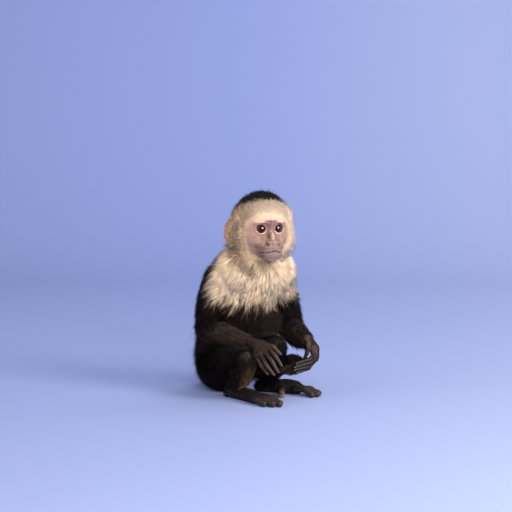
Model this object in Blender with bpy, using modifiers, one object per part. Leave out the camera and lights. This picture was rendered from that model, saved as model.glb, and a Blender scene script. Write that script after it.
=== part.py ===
"""White-faced capuchin monkey, sitting on the floor: a still, life-size display model.

Metres, +Z up.  The monkey faces -Y, so its left side is +X.  The origin is on the floor
under the middle of the pelvis.  Every outline is the outer surface of the coat.
Sizes below are in millimetres and are turned into metres by mm().
"""
import math

import bmesh
import bpy
from mathutils import Matrix, Vector

MM = 0.001
GAP = 0.6            # clear space between two neighbouring solids
CUT = 0.9            # thickness of the cut between two lengths of one limb
VOXEL = 1.9          # grid of the blended forms

# head
HEAD = Vector((17.5, -72.6, 260))
HEAD_YAW = 17.0      # the head turns this many degrees to its right
EYE_SPREAD = 12.8
EYE_RADIUS = 8.2
EYE_FORWARD = 23.2
EAR_HEIGHT = 40.0
EAR_WIDTH = 26.0
EAR_THICK = 5.0

# trunk, as centre and radius up the spine
SPINE = [
    ((1, 4, 44), 46), ((4, 4, 74), 51), ((9, -8, 108), 52),
    ((14, -26, 142), 49), ((17, -43, 172), 45), ((18, -55, 198), 46), ((18, -63, 220), 42),
]

# limbs, as centre and radius from the body outward
THIGH_R = [((-22, -5, 50), 32), ((-33, -48, 58), 28), ((-38, -100, 66), 18)]
SHIN_R = [((-38, -104, 66), 18), ((-33, -90, 46), 18), ((-27, -74, 26), 15), ((-24, -64, 14), 12.5)]
THIGH_L = [((24, -4, 50), 34), ((24, -48, 66), 29), ((21, -95, 80), 21)]
SHIN_L = [((21, -99, 79), 20), ((29, -83, 54), 18), ((42, -64, 28), 14.5), ((48, -52, 15), 13)]

ARM_R = [((-29, -31, 180), 31), ((-41, -24, 149), 26.5), ((-44, -13, 117), 21.5), ((-42, -9, 101), 19.5)]
FOREARM_R = [((-42, -9, 101), 19.5), ((-34, -38, 98), 17.5), ((-25, -68, 93), 13.5), ((-20, -86, 90), 10)]
ARM_L = [((57, -56, 178), 27), ((75, -53, 146), 24), ((90, -46, 115), 23.5), ((93, -43, 99), 21)]
FOREARM_L = [((93, -43, 99), 21), ((88, -64, 92), 20.5), ((81, -90, 88), 16.5), ((77, -108, 88), 10)]

TAIL = [
    ((2, 40, 36), 14), ((12, 62, 22), 13), ((33, 82, 12.5), 13), ((63, 92, 12), 12.5),
    ((92, 80, 11.5), 12), ((108, 52, 11.5), 12), ((107, 18, 15), 12), ((97, -16, 28), 12),
    ((86, -46, 43), 11.5), ((77, -72, 51), 11), ((73, -92, 51), 10.5), ((66, -103, 48), 11),
    ((54, -105, 44), 11), ((43, -104, 43), 9.5), ((33, -100, 43), 6),
]
TAIL_CUTS = [2, 5, 8]

# hands: wrist, then knuckle, middle joint and tip of each finger, thumb first
HAND_R = {
    "wrist": (-20, -87, 90),
    "palm": (-21, -107, 88),
    "fingers": [
        [(-14, -112, 90), (-8, -130, 86), (-1, -137, 76)],
        [(-18, -128, 86), (-16, -145, 75), (-11, -152, 62)],
        [(-25, -129, 82), (-24, -147, 68), (-18, -153, 53)],
        [(-30, -127, 77), (-31, -143, 62), (-23, -149, 49)],
        [(-34, -122, 73), (-34, -135, 60), (-27, -139, 49)],
    ],
}
HAND_L = {
    "wrist": (78, -109, 88),
    "palm": (81, -119, 74),
    "fingers": [
        [(74, -114, 80), (67, -119, 69), (63, -117, 58)],
        [(76, -127, 69), (63, -131, 61), (42, -126, 56)],
        [(79, -128, 64), (64, -130, 55), (40, -124, 50)],
        [(80, -125, 59), (65, -127, 49), (42, -121, 45)],
        [(81, -119, 56), (68, -122, 45), (49, -118, 40)],
    ],
}
FINGER = 3.8
PALM = 9.8

# feet: heel, middle of the sole, ball, toes (big toe first) as joint, middle joint and tip
FOOT_R = {
    "sole": [((-23, -44, 8), 9), ((-24, -66, 9), 10.5), ((-24, -88, 9.5), 11), ((-24, -106, 8.5), 10.5)],
    "toes": [
        [(-14, -90, 8), (-2, -104, 7), (4, -118, 5)],
        [(-14, -112, 8.5), (-11, -134, 9.5), (-10, -150, 5.2)],
        [(-21, -114, 8.5), (-19, -139, 9.5), (-18, -158, 5.2)],
        [(-28, -112, 8.5), (-28, -136, 8.5), (-27, -153, 5.2)],
        [(-34, -107, 8), (-36, -128, 8), (-36, -143, 5.2)],
    ],
}
FOOT_L = {
    "sole": [((44, -36, 8), 9), ((54, -56, 10), 10.5), ((63, -74, 11.5), 12), ((70, -88, 10.5), 11.5)],
    "toes": [
        [(54, -76, 9), (42, -88, 8), (33, -100, 5)],
        [(63, -97, 10), (68, -113, 11), (70, -127, 5.2)],
        [(69, -97, 10), (76, -115, 11), (79, -129, 5.2)],
        [(75, -93, 9.5), (83, -109, 10), (88, -122, 5.2)],
        [(79, -87, 9), (87, -101, 9), (93, -113, 5.2)],
    ],
}
TOE = 5.1

TRIANGLES = {"head": 1350, "trunk": 560, "leg": 600, "arm": 720, "tail": 420}

for old in list(bpy.data.objects):
    bpy.data.objects.remove(old, do_unlink=True)

model = bpy.data.collections.new("capuchin_monkey")
cutters = bpy.data.collections.new("cutters")
for group in (model, cutters):
    bpy.context.scene.collection.children.link(group)


def mm(point):
    return Vector(point) * MM


def material(name, colour, roughness, metallic=0.0):
    made = bpy.data.materials.new(name)
    made.use_nodes = True
    shader = made.node_tree.nodes["Principled BSDF"]
    shader.inputs["Base Color"].default_value = (*colour, 1.0)
    shader.inputs["Roughness"].default_value = roughness
    shader.inputs["Metallic"].default_value = metallic
    return made


def turn(yaw):
    return Matrix.Rotation(math.radians(-yaw), 4, "Z")


def in_head(left, forward, up):
    """A point of the head, given to the left, forward and up of its middle."""
    return HEAD + turn(HEAD_YAW) @ Vector((left, -forward, up))


def place(obj, group=cutters):
    for holder in list(obj.users_collection):
        holder.objects.unlink(obj)
    group.objects.link(obj)
    if group is cutters:
        obj.hide_render = True
        obj.display_type = "WIRE"
    return obj


def ball(centre, radii, spin=None, segments=32, rings=20):
    bpy.ops.mesh.primitive_uv_sphere_add(segments=segments, ring_count=rings, radius=1.0)
    obj = bpy.context.active_object
    size = Matrix.Diagonal((radii[0] * MM, radii[1] * MM, radii[2] * MM, 1.0))
    spin = spin or Matrix.Identity(4)
    obj.data.transform(Matrix.Translation(mm(centre)) @ spin @ size)
    return place(obj)


def tube(path):
    """A round limb whose centre and radius follow the path, with a ball at each joint."""
    curve = bpy.data.curves.new("limb", "CURVE")
    curve.dimensions = "3D"
    curve.bevel_depth = MM
    curve.bevel_resolution = 3
    curve.use_fill_caps = True
    line = curve.splines.new("POLY")
    line.points.add(len(path) - 1)
    for spot, (centre, radius) in zip(line.points, path):
        spot.co = (*mm(centre), 1.0)
        spot.radius = radius
    shape = bpy.data.objects.new("limb", curve)
    cutters.objects.link(shape)
    bpy.context.view_layer.update()
    ready = shape.evaluated_get(bpy.context.evaluated_depsgraph_get())
    mesh = bpy.data.meshes.new_from_object(ready)
    bpy.data.objects.remove(shape, do_unlink=True)
    solid = bmesh.new()
    solid.from_mesh(mesh)
    bmesh.ops.remove_doubles(solid, verts=solid.verts, dist=1e-5)
    solid.to_mesh(mesh)
    solid.free()
    obj = bpy.data.objects.new("limb", mesh)
    cutters.objects.link(obj)
    return [obj] + [ball(c, (r, r, r), segments=20, rings=12) for c, r in path]


def smooth_path(path, steps=4):
    """More stations along the path, on a curve through every given one."""
    out = []
    last = len(path) - 1
    for n in range(last):
        spots = [path[max(n - 1, 0)], path[n], path[n + 1], path[min(n + 2, last)]]
        p = [Vector((*c, r)) for c, r in spots]
        for k in range(steps):
            t = k / steps
            q = (2 * p[1] + (p[2] - p[0]) * t + (2 * p[0] - 5 * p[1] + 4 * p[2] - p[3]) * t * t
                 + (3 * p[1] - p[0] - 3 * p[2] + p[3]) * t ** 3) * 0.5
            out.append(((q[0], q[1], q[2]), q[3]))
    out.append(path[-1])
    return out


def apply_all(obj):
    ready = obj.evaluated_get(bpy.context.evaluated_depsgraph_get())
    mesh = bpy.data.meshes.new_from_object(ready)
    obj.modifiers.clear()
    old = obj.data
    obj.data = mesh
    bpy.data.meshes.remove(old)
    return obj


def blend(name, pieces, voxel, rounds, triangles):
    """Joins the pieces into one smooth closed form of about the given triangles."""
    first = pieces[0]
    with bpy.context.temp_override(active_object=first, selected_editable_objects=pieces,
                                   selected_objects=pieces, object=first):
        bpy.ops.object.join()
    first.name = name
    mesher = first.modifiers.new("remesh", "REMESH")
    mesher.mode = "VOXEL"
    mesher.voxel_size = voxel * MM
    softer = first.modifiers.new("smooth", "SMOOTH")
    softer.factor = 0.5
    softer.iterations = rounds
    apply_all(first)
    fewer = first.modifiers.new("decimate", "DECIMATE")
    fewer.ratio = min(1.0, triangles / (2.0 * len(first.data.polygons)))
    fewer.use_collapse_triangulate = True
    return apply_all(first)


def subtract(obj, tool):
    cut = obj.modifiers.new("cut", "BOOLEAN")
    cut.operation = "DIFFERENCE"
    cut.solver = "EXACT"
    cut.object = tool
    return apply_all(obj)


def swollen(obj, amount):
    copy = obj.copy()
    copy.data = obj.data.copy()
    place(copy)
    grow = copy.modifiers.new("grow", "DISPLACE")
    grow.direction = "NORMAL"
    grow.mid_level = 0.0
    grow.strength = amount * MM
    return apply_all(copy)


def slab(point, along, width):
    """A thin square cutter through a point, square to the direction along."""
    bpy.ops.mesh.primitive_cube_add(size=1.0)
    obj = bpy.context.active_object
    spin = Vector(along).to_track_quat("Z", "Y").to_matrix().to_4x4()
    size = Matrix.Diagonal((width * MM, width * MM, CUT * MM, 1.0))
    obj.data.transform(Matrix.Translation(mm(point)) @ spin @ size)
    return place(obj)


def pieces_of(obj):
    """The loose parts of an object, each as an object of its own, crumbs left out."""
    solid = bmesh.new()
    solid.from_mesh(obj.data)
    solid.verts.ensure_lookup_table()
    seen = set()
    groups = []
    for start in solid.verts:
        if start in seen:
            continue
        stack = [start]
        group = set()
        while stack:
            v = stack.pop()
            if v in group:
                continue
            group.add(v)
            stack.extend(e.other_vert(v) for e in v.link_edges if e.other_vert(v) not in group)
        seen |= group
        groups.append([v.index for v in group])
    found = []
    for group in groups:
        if len(group) < 12:
            continue
        keep = set(group)
        part = solid.copy()
        part.verts.ensure_lookup_table()
        bmesh.ops.delete(part, geom=[v for v in part.verts if v.index not in keep], context="VERTS")
        mesh = bpy.data.meshes.new("piece")
        part.to_mesh(mesh)
        part.free()
        piece = bpy.data.objects.new("piece", mesh)
        cutters.objects.link(piece)
        found.append(piece)
    solid.free()
    bpy.data.objects.remove(obj, do_unlink=True)
    return found


def name_pieces(found, places, look):
    """Each wanted name takes the piece that lies round its named place."""
    for name, spot in places.items():
        spot = mm(spot)
        nearest = min(found, key=lambda o: min((v.co - spot).length for v in o.data.vertices))
        found.remove(nearest)
        finish(nearest, name, look(name))
    for left in found:
        bpy.data.objects.remove(left, do_unlink=True)


def finish(obj, name, mat):
    obj.name = name
    obj.data.name = name
    obj.hide_render = False
    obj.display_type = "TEXTURED"
    place(obj, model)
    obj.data.materials.clear()
    obj.data.materials.append(mat)
    obj.data.shade_smooth()
    obj.data.set_sharp_from_angle(angle=math.radians(50))
    return obj


def middle(path, t):
    n = min(int(t), len(path) - 2)
    a = Vector(path[n][0])
    b = Vector(path[n + 1][0])
    return a.lerp(b, t - n), b - a


fur_dark = material("fur_dark", (0.022, 0.016, 0.013), 0.8)
fur_cream = material("fur_cream", (0.66, 0.52, 0.36), 0.85)
skin_hand = material("skin_hand", (0.10, 0.065, 0.055), 0.6)
skin_ear = material("skin_ear", (0.50, 0.31, 0.26), 0.6)
eye_brown = material("eye_brown", (0.012, 0.007, 0.005), 0.08)

spin = turn(HEAD_YAW)

# head: skull, cheeks, brow, muzzle, chin and nose in one form
head_parts = [
    ball(in_head(0, -6.5, 9), (44, 42, 45.5), spin),
    ball(in_head(0, -3, -13), (49, 35, 36), spin),
    ball(in_head(0, 15, 4), (32, 18, 22), spin),
    ball(in_head(0, 22, 13), (26, 13, 8), spin),
    ball(in_head(0, 22, -6), (9, 12, 16), spin),
    ball(in_head(0, 25.5, -22), (19.5, 17.5, 14), spin),
    ball(in_head(0, 35, -23), (14.5, 11, 9), spin),
    ball(in_head(0, 20.5, -36), (20, 22, 13), spin),
    ball(in_head(0, 34, -37), (14, 10, 9), spin),
    ball(in_head(0, 43, -18), (6.5, 6, 5), spin),
]
for side in (-1, 1):
    head_parts.append(ball(in_head(side * 20.5, 16.5, -12), (10, 10.5, 11), spin))
    head_parts.append(ball(in_head(side * 41, -10, 13), (10, 16, 15), spin))
    head_parts.append(ball(in_head(side * 21, -8, -32), (26, 29, 24), spin))
head = blend("head", head_parts, 1.5, 5, TRIANGLES["head"])
eyes = []
for side, word in ((-1, "right"), (1, "left")):
    centre = in_head(side * EYE_SPREAD, EYE_FORWARD, 0)
    socket = ball(centre, (EYE_RADIUS + 0.5,) * 3, segments=18, rings=12)
    subtract(head, socket)
    eyeball = ball(centre, (EYE_RADIUS,) * 3, segments=16, rings=10)
    finish(eyeball, "eye_" + word, eye_brown)
    eyes.append(eyeball)

# ears: upright rounded shells beside the head, open to the front
head_room = swollen(head, GAP)
for side, word in ((-1, "right"), (1, "left")):
    lean = turn(HEAD_YAW) @ Matrix.Rotation(math.radians(side * 50), 4, "Z")
    size = (EAR_WIDTH / 2, EAR_THICK, EAR_HEIGHT / 2)
    shell = ball(in_head(side * 45.8, -14, -6), size, lean, segments=20, rings=12)
    size = (EAR_WIDTH / 2 - 4.5, EAR_THICK, EAR_HEIGHT / 2 - 6)
    bowl = ball(in_head(side * 47.8, -7, -6), size, lean, segments=16, rings=10)
    subtract(shell, bowl)
    subtract(shell, head_room)
    shell = max(pieces_of(shell), key=lambda o: len(o.data.vertices))
    finish(shell, "ear_" + word, skin_ear)

# neck and trunk
body_parts = tube(smooth_path(SPINE))
body_parts.append(ball((2, 12, 37), (44, 42, 40)))
body_parts.append(ball((25, -51, 190), (69, 49, 38)))
body_parts.append(ball((10, -48, 207), (55, 44, 30)))
body_parts.append(ball((36, -36, 107), (41, 37, 41)))
body_parts.append(ball((-22, -36, 155), (25, 25, 34)))
body_parts.append(ball((56, -54, 155), (22, 22, 32)))
body = blend("body", body_parts, VOXEL, 5, TRIANGLES["trunk"])
subtract(body, head_room)

# legs and feet
legs = {}
for word, thigh, shin, foot in (("right", THIGH_R, SHIN_R, FOOT_R), ("left", THIGH_L, SHIN_L, FOOT_L)):
    parts = tube(smooth_path(thigh)) + tube(smooth_path(shin)) + tube(smooth_path(foot["sole"]))
    for toe in foot["toes"]:
        parts += tube([(p, TOE * k) for p, k in zip(toe, (1.15, 1.0, 0.9))])
    legs[word] = blend("leg_" + word, parts, 1.7, 4, TRIANGLES["leg"])

# arms and hands
arms = {}
for word, upper, fore, hand in (("right", ARM_R, FOREARM_R, HAND_R), ("left", ARM_L, FOREARM_L, HAND_L)):
    parts = tube(smooth_path(upper)) + tube(smooth_path(fore))
    parts += tube([(hand["wrist"], 10), (hand["palm"], PALM)])
    for finger in hand["fingers"]:
        parts += tube([(hand["palm"], 6.5), (finger[0], FINGER * 1.25), (finger[1], FINGER),
                       (finger[2], FINGER * 0.85)])
    arms[word] = blend("arm_" + word, parts, 1.6, 3, TRIANGLES["arm"])

tail = blend("tail", tube(smooth_path(TAIL, 5)), VOXEL, 3, TRIANGLES["tail"])

body_room = swollen(body, GAP)
for limb in (legs["right"], legs["left"], arms["right"], arms["left"], tail):
    subtract(limb, body_room)
    subtract(limb, head_room)
leg_room = swollen(legs["left"], GAP)
for limb in (legs["right"], arms["right"], arms["left"], tail):
    subtract(limb, leg_room)
subtract(arms["right"], swollen(legs["right"], GAP))
subtract(tail, swollen(arms["left"], GAP))

# flats on the floor
bpy.ops.mesh.primitive_cube_add(size=1.0)
floor = place(bpy.context.active_object)
floor.data.transform(Matrix.Translation((0, 0, -0.1)) @ Matrix.Diagonal((0.8, 0.8, 0.2, 1.0)))
for obj in (body, legs["right"], legs["left"], tail):
    subtract(obj, floor)

# thin cuts between the lengths of each limb
subtract(body, slab((18, -56, 200), (0.0, -0.35, 1.0), 180))
subtract(body, slab((9, -10, 114), (0.0, 0.0, 1.0), 150))
for word, thigh, shin in (("right", THIGH_R, SHIN_R), ("left", THIGH_L, SHIN_L)):
    knee = Vector(shin[0][0])
    to_hip = (Vector(thigh[0][0]) - knee).normalized()
    to_ankle = (Vector(shin[-1][0]) - knee).normalized()
    subtract(legs[word], slab(knee + (to_hip + to_ankle).normalized() * 38, to_hip - to_ankle, 130))
    subtract(legs[word], slab(Vector(shin[-1][0]) + Vector((0, 0, 9)), (0, 0, 1), 100))
for word, fore, upper in (("right", FOREARM_R, ARM_R), ("left", FOREARM_L, ARM_L)):
    elbow = Vector(fore[0][0])
    to_shoulder = (Vector(upper[0][0]) - elbow).normalized()
    to_wrist = (Vector(fore[-1][0]) - elbow).normalized()
    subtract(arms[word], slab(elbow + (to_shoulder + to_wrist).normalized() * 20, to_shoulder - to_wrist, 90))
    point, along = middle(fore, 2.9)
    subtract(arms[word], slab(point, along, 34))
for n in TAIL_CUTS:
    point, along = middle(TAIL, n + 0.5)
    subtract(tail, slab(point, along, 40))


def coat(name):
    if name in ("hand_right", "hand_left", "foot_right", "foot_left"):
        return skin_hand
    if name in ("head", "neck", "chest"):
        return fur_cream
    return fur_dark


finish(head, "head", fur_cream)
name_pieces(pieces_of(body), {
    "neck": (18, -62, 218), "chest": (16, -34, 160), "pelvis": (0, 4, 30),
}, coat)
for word, thigh, shin, foot in (("right", THIGH_R, SHIN_R, FOOT_R), ("left", THIGH_L, SHIN_L, FOOT_L)):
    name_pieces(pieces_of(legs[word]), {
        "foot_" + word: foot["sole"][2][0], "thigh_" + word: thigh[1][0], "shin_" + word: shin[2][0],
    }, coat)
for word, fore, upper, hand in (("right", FOREARM_R, ARM_R, HAND_R), ("left", FOREARM_L, ARM_L, HAND_L)):
    name_pieces(pieces_of(arms[word]), {
        "upper_arm_" + word: upper[1][0], "forearm_" + word: fore[1][0], "hand_" + word: hand["palm"],
    }, coat)
name_pieces(pieces_of(tail), {
    "tail_base": TAIL[1][0], "tail_middle": TAIL[4][0], "tail_front": TAIL[7][0], "tail_tip": TAIL[11][0],
}, coat)
for obj in list(cutters.objects):
    bpy.data.objects.remove(obj, do_unlink=True)
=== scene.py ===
"""The looks of a sitting white-faced capuchin monkey: one skin, eyes, nails and a coat of tufts.

All sizes are in millimetres until they reach Blender.  The monkey faces -Y, its left is +X, and
the floor is z = 0.  Paths hold (centre, radius) of the coat's outer surface, as in the solids.
"""
import copy
import math

import bmesh
import bpy
import numpy as np
import openvdb
from mathutils import Matrix, Vector


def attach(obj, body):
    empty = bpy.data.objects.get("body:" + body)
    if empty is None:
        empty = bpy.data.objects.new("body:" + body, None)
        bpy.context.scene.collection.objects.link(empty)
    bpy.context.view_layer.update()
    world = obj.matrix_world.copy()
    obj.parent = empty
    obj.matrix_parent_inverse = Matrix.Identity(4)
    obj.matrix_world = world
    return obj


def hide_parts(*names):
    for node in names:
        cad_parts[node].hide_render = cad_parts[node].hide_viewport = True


MM = 0.001
STEP = 1.05          # grid of the whole skin
FINE = 0.45          # grid of the face
REACH = 19.0         # how far from the skin the grid's distances are true
FINE_REACH = 11.0
SKIN_FLOOR = 0.25    # the skin's and the tufts' lowest heights
TUFT_FLOOR = 0.45
LOW = np.array([-82.0, -172.0, -5.0])
HIGH = np.array([122.0, 112.0, 324.0])
rng = np.random.default_rng(11)
scene = bpy.context.scene

# ---- the body's named sizes
def turned_axes(turn):
    """Left, front and up of a thing that faces -Y, turned to its right."""
    left, front = (math.cos(turn), -math.sin(turn), 0.0), (-math.sin(turn), -math.cos(turn), 0.0)
    return np.array([left, front, (0.0, 0.0, 1.0)])


HEAD = np.array([17.5, -72.6, 260.0])
YAW = math.radians(17.0)
HEAD_AXES = turned_axes(YAW)
H_LEFT, H_FRONT, H_UP = HEAD_AXES
EYE_X = 12.8
EYE_Y = 23.2
EYE_R = 8.2
SOCKET_GAP = 0.15    # between an eye and the skin round it
MOUTH_X = 1.2        # the mouth's middle, to the left of the face's
MOUTH_HALF = 18.5
LID_TURN = 12.0      # degrees each eye's opening is turned outward
LID_X = 14.4         # the middle of each opening

SPINE = [((1, 4, 44), 46), ((4, 4, 74), 51), ((9, -8, 108), 52), ((14, -26, 142), 49),
         ((17, -43, 172), 45), ((18, -55, 198), 46), ((18, -63, 220), 42)]
THIGH_R = [((-22, -5, 50), 32), ((-33, -48, 58), 28), ((-38, -100, 66), 18)]
SHIN_R = [((-38, -104, 66), 18), ((-33, -90, 46), 18), ((-27, -74, 26), 15), ((-24, -64, 14), 12.5),
          ((-23, -46, 12), 11)]
THIGH_L = [((24, -4, 50), 34), ((24, -48, 66), 29), ((21, -95, 80), 21)]
SHIN_L = [((21, -99, 79), 20), ((29, -83, 54), 18), ((42, -64, 28), 14.5), ((48, -52, 15), 13),
          ((45, -42, 13), 12.5)]
ARM_R = [((-29, -31, 180), 31), ((-41, -24, 149), 26.5), ((-44, -13, 117), 21.5), ((-42, -9, 101), 19.5)]
FOREARM_R = [((-42, -9, 101), 19.5), ((-34, -38, 98), 17.5), ((-25, -68, 93), 13.5), ((-20, -86, 90), 10)]
ARM_L = [((57, -56, 178), 27), ((75, -53, 146), 24), ((90, -46, 115), 23.5), ((93, -43, 99), 21)]
FOREARM_L = [((93, -43, 99), 21), ((88, -64, 92), 20.5), ((81, -90, 88), 16.5), ((77, -108, 88), 10)]
TAIL = [((2, 40, 36), 14), ((12, 62, 22), 13), ((33, 82, 12.5), 13), ((63, 92, 12), 12.5),
        ((92, 80, 11.5), 12), ((108, 52, 11.5), 12), ((107, 18, 15), 12), ((97, -16, 28), 12),
        ((86, -46, 43), 11.5), ((77, -72, 51), 11), ((73, -92, 51), 10.5), ((66, -103, 48), 11),
        ((54, -105, 44), 11), ((43, -104, 43), 9.5), ((33, -100, 43), 6)]
# centre, radii and blend of the forms round the spine: rump, shoulders, nape, belly and armpits
BARREL = [
    ((2, 12, 37), (44, 42, 40), 8), ((25, -51, 190), (69, 49, 38), 10),
    ((10, -48, 207), (55, 44, 30), 10), ((36, -36, 107), (44, 39, 44), 10),
    ((-22, -36, 155), (25, 25, 34), 10), ((56, -54, 155), (22, 22, 32), 10),
]
HAND_R = {"wrist": (-20, -87, 90), "palm": (-21, -107, 88), "dorsal": (-0.35, -0.55, 0.75), "fingers": [
    [(-14, -112, 90), (-8, -130, 86), (-1, -137, 76)],
    [(-18, -128, 86), (-16, -145, 75), (-11, -152, 62)],
    [(-25, -129, 82), (-24, -147, 68), (-18, -153, 53)],
    [(-30, -127, 77), (-31, -143, 62), (-23, -149, 49)],
    [(-34, -122, 73), (-34, -135, 60), (-27, -139, 49)]]}
HAND_L = {"wrist": (78, -109, 88), "palm": (81, -119, 74), "dorsal": (0.55, -0.8, 0.1), "fingers": [
    [(74, -114, 80), (67, -119, 69), (63, -117, 58)],
    [(76, -127, 69), (63, -131, 61), (42, -126, 56)],
    [(79, -128, 64), (64, -130, 55), (40, -124, 50)],
    [(80, -125, 59), (65, -127, 49), (42, -121, 45)],
    [(81, -119, 56), (68, -122, 45), (49, -118, 40)]]}
FOOT_R = {"sole": [((-23, -44, 8), 9), ((-24, -66, 9), 10.5), ((-24, -88, 9.5), 11),
                   ((-24, -106, 8.5), 10.5)], "dorsal": (0, 0, 1), "fingers": [
    [(-14, -90, 8), (-2, -104, 7), (4, -118, 5)],
    [(-14, -112, 8.5), (-11, -134, 9.5), (-10, -150, 5.2)],
    [(-21, -114, 8.5), (-19, -139, 9.5), (-18, -158, 5.2)],
    [(-28, -112, 8.5), (-28, -136, 8.5), (-27, -153, 5.2)],
    [(-34, -107, 8), (-36, -128, 8), (-36, -143, 5.2)]]}
FOOT_L = {"sole": [((44, -36, 8), 9), ((54, -56, 10), 10.5), ((63, -74, 11.5), 12),
                   ((70, -88, 10.5), 11.5)], "dorsal": (0, 0, 1), "fingers": [
    [(54, -76, 9), (42, -88, 8), (33, -100, 5)],
    [(63, -97, 10), (68, -113, 11), (70, -127, 5.2)],
    [(69, -97, 10), (76, -115, 11), (79, -129, 5.2)],
    [(75, -93, 9.5), (83, -109, 10), (88, -122, 5.2)],
    [(79, -87, 9), (87, -101, 9), (93, -113, 5.2)]]}
# the fold between cheek and shoulder: a painted shadow under the jaw, over partly darker hair
NECK_FOLD_SHADE = [(-26, -37, 230), (-20, -56, 224), (-13, -71, 214), (-5, -81, 205)]
FINGER = 3.1         # radii of the bare fingers and toes
TOE = 4.7

# name: path, coat depth over the skin, tuft length
REGIONS = {
    "spine": (SPINE, 12.5, 21.0),
    "thigh_r": (THIGH_R, 9.0, 16.0),
    "shin_r": (SHIN_R, 5.5, 10.0),
    "thigh_l": (THIGH_L, 9.0, 16.0),
    "shin_l": (SHIN_L, 5.5, 10.0),
    "arm_r": (ARM_R, 9.0, 18.0),
    "forearm_r": (FOREARM_R, 5.5, 15.0),
    "arm_l": (ARM_L, 8.5, 18.0),
    "forearm_l": (FOREARM_L, 5.5, 15.0),
    "tail": (TAIL, 4.5, 10.0),
}
HEAD_HAIR, HEAD_DEPTH = 10.0, 5.5
HAND_HAIR, HAND_DEPTH = 3.6, 0.8


def curve(path, steps=5):
    """Stations on a smooth curve through the path's own."""
    p = np.array([[*c, r] for c, r in path], float)
    p = np.vstack([p[0], p, p[-1]])
    out = []
    for n in range(1, len(p) - 2):
        a, b, c, d = p[n - 1:n + 3]
        for k in range(steps):
            t = k / steps
            out.append(0.5 * (2 * b + (c - a) * t + (2 * a - 5 * b + 4 * c - d) * t * t
                              + (3 * b - a - 3 * c + d) * t ** 3))
    out.append(p[-2])
    return np.array(out)


# ---- distance fields on a grid
FAR = 60.0           # the distance given to points beyond a field's reach


def soft_min(a, b, k):
    if k <= 0:
        return np.minimum(a, b)
    h = np.maximum(k - np.abs(a - b), 0) / k
    return np.minimum(a, b) - h * h * k * 0.25


def segment(q, start, end):
    """Distance to a round bar between two stations, and the place along it."""
    a, ab = start[:3], end[:3] - start[:3]
    t = np.clip(((q - a) @ ab) / max(float(ab @ ab), 1e-6), 0, 1)
    near = q - a - t[..., None] * ab
    return np.sqrt((near * near).sum(-1)) - (start[3] + (end[3] - start[3]) * t), t


def oval_distance(q, radii):
    r = np.asarray(radii, np.float32)
    k0 = np.sqrt(((q / r) ** 2).sum(-1))
    k1 = np.sqrt(((q / (r * r)) ** 2).sum(-1))
    return k0 * (k0 - 1) / np.maximum(k1, 1e-4)


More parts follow.
